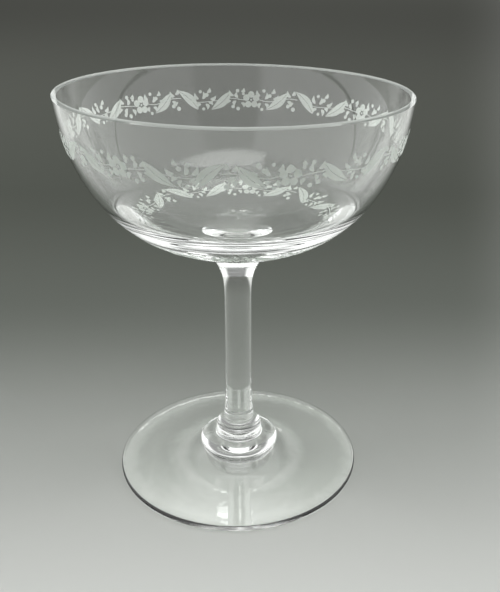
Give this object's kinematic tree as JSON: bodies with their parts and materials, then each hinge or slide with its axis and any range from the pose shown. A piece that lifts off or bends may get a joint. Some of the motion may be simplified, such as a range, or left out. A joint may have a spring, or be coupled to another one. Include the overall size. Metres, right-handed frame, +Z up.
{
  "type": "coupe glass",
  "caption": "Stemmed coupe glass of clear crystal with a wide round bowl, slim stem, button knop and thin spread foot.",
  "frame": {"origin": "on the surface the glass stands on, under the middle of the foot", "axes": "+Z up along the stem, from the foot to the rim; +Y away from the picture's camera"},
  "size_m": [0.097, 0.097, 0.12],
  "materials": {
    "clear_crystal": "polished",
    "frosted_engraving": "matte"
  },
  "bodies": {
    "root": {"bowl": "clear_crystal", "stem": "clear_crystal", "knop": "clear_crystal", "foot": "clear_crystal"}
  },
  "joints": []
}
